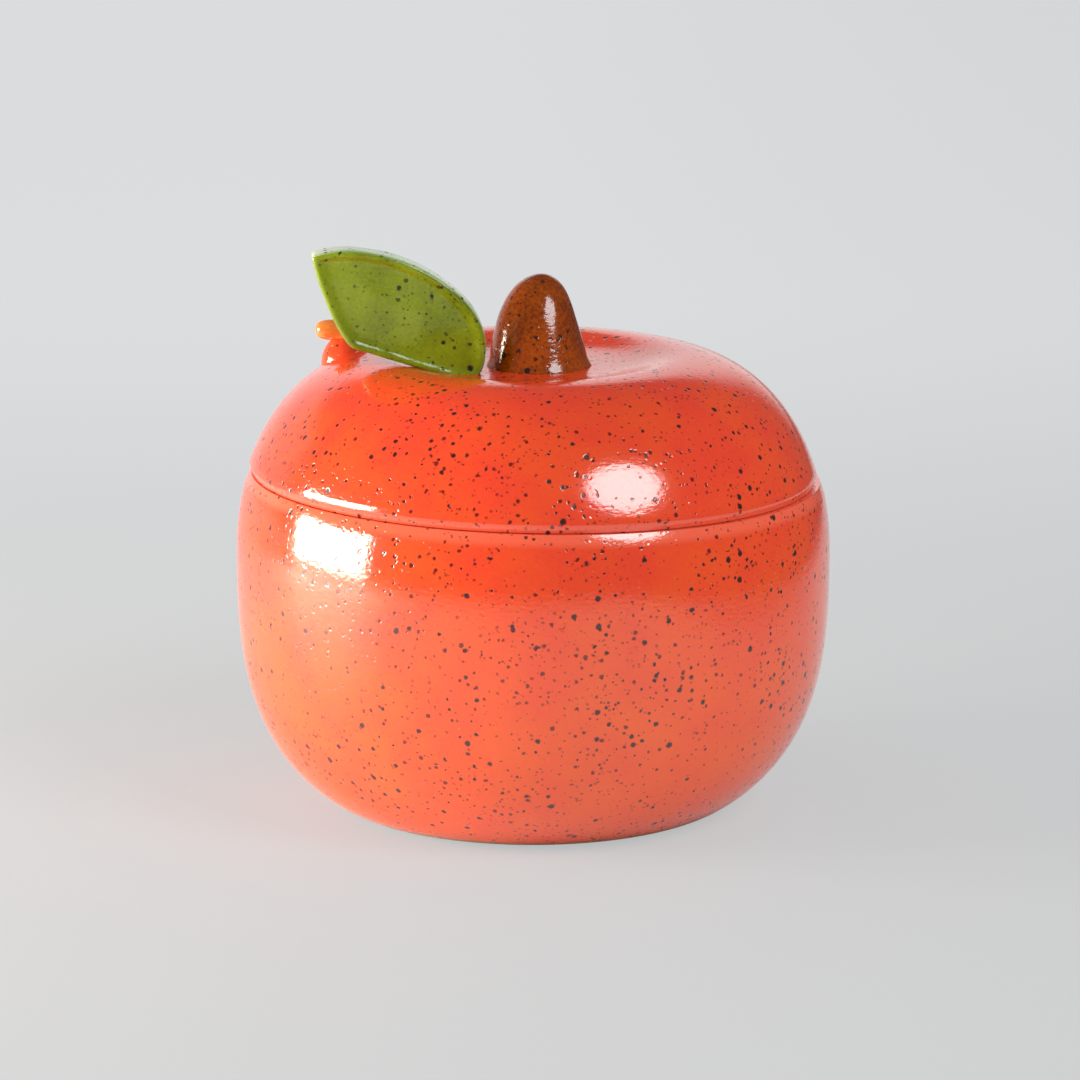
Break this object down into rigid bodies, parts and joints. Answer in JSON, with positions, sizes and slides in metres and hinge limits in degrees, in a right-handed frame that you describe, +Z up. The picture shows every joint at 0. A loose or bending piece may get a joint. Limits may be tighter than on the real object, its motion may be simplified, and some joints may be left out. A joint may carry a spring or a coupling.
{
  "type": "apple-shaped jar",
  "caption": "Apple-shaped glazed stoneware jar with a lift-off lid that carries a stem knob, a leaf and a small worm, standing on a round foot ring.",
  "frame": {"origin": "middle of the foot ring, on the surface that the jar stands on", "axes": "+Z up along the pot's axis, -Y to the front, +X to the right of a viewer in front"},
  "size_m": [0.12, 0.12, 0.116],
  "materials": {
    "red_glaze": "glossy orange-red glaze over speckled stoneware",
    "bare_clay": "unglazed speckled stoneware",
    "brown_glaze": "glossy amber-brown glaze with specks",
    "green_glaze": "glossy olive-green glaze with specks",
    "orange_glaze": "glossy orange glaze"
  },
  "bodies": {
    "pot": {"pot": "red_glaze"},
    "flange": {"lid_flange": "bare_clay"},
    "lid": {"lid": "red_glaze", "stem": "brown_glaze", "leaf": "green_glaze", "worm_mound": "red_glaze", "worm": "orange_glaze"}
  },
  "joints": [
    {"name": "lid_lift", "type": "slide", "parent": "pot", "child": "flange", "axis": [0, 0, 1], "range_m": [0, 0.06]},
    {"name": "lid_turn", "type": "hinge", "parent": "flange", "child": "lid", "pos_m": [-0.00045, 0, 0.0675], "axis": [0.0218, 0, 0.9998], "continuous": true}
  ]
}
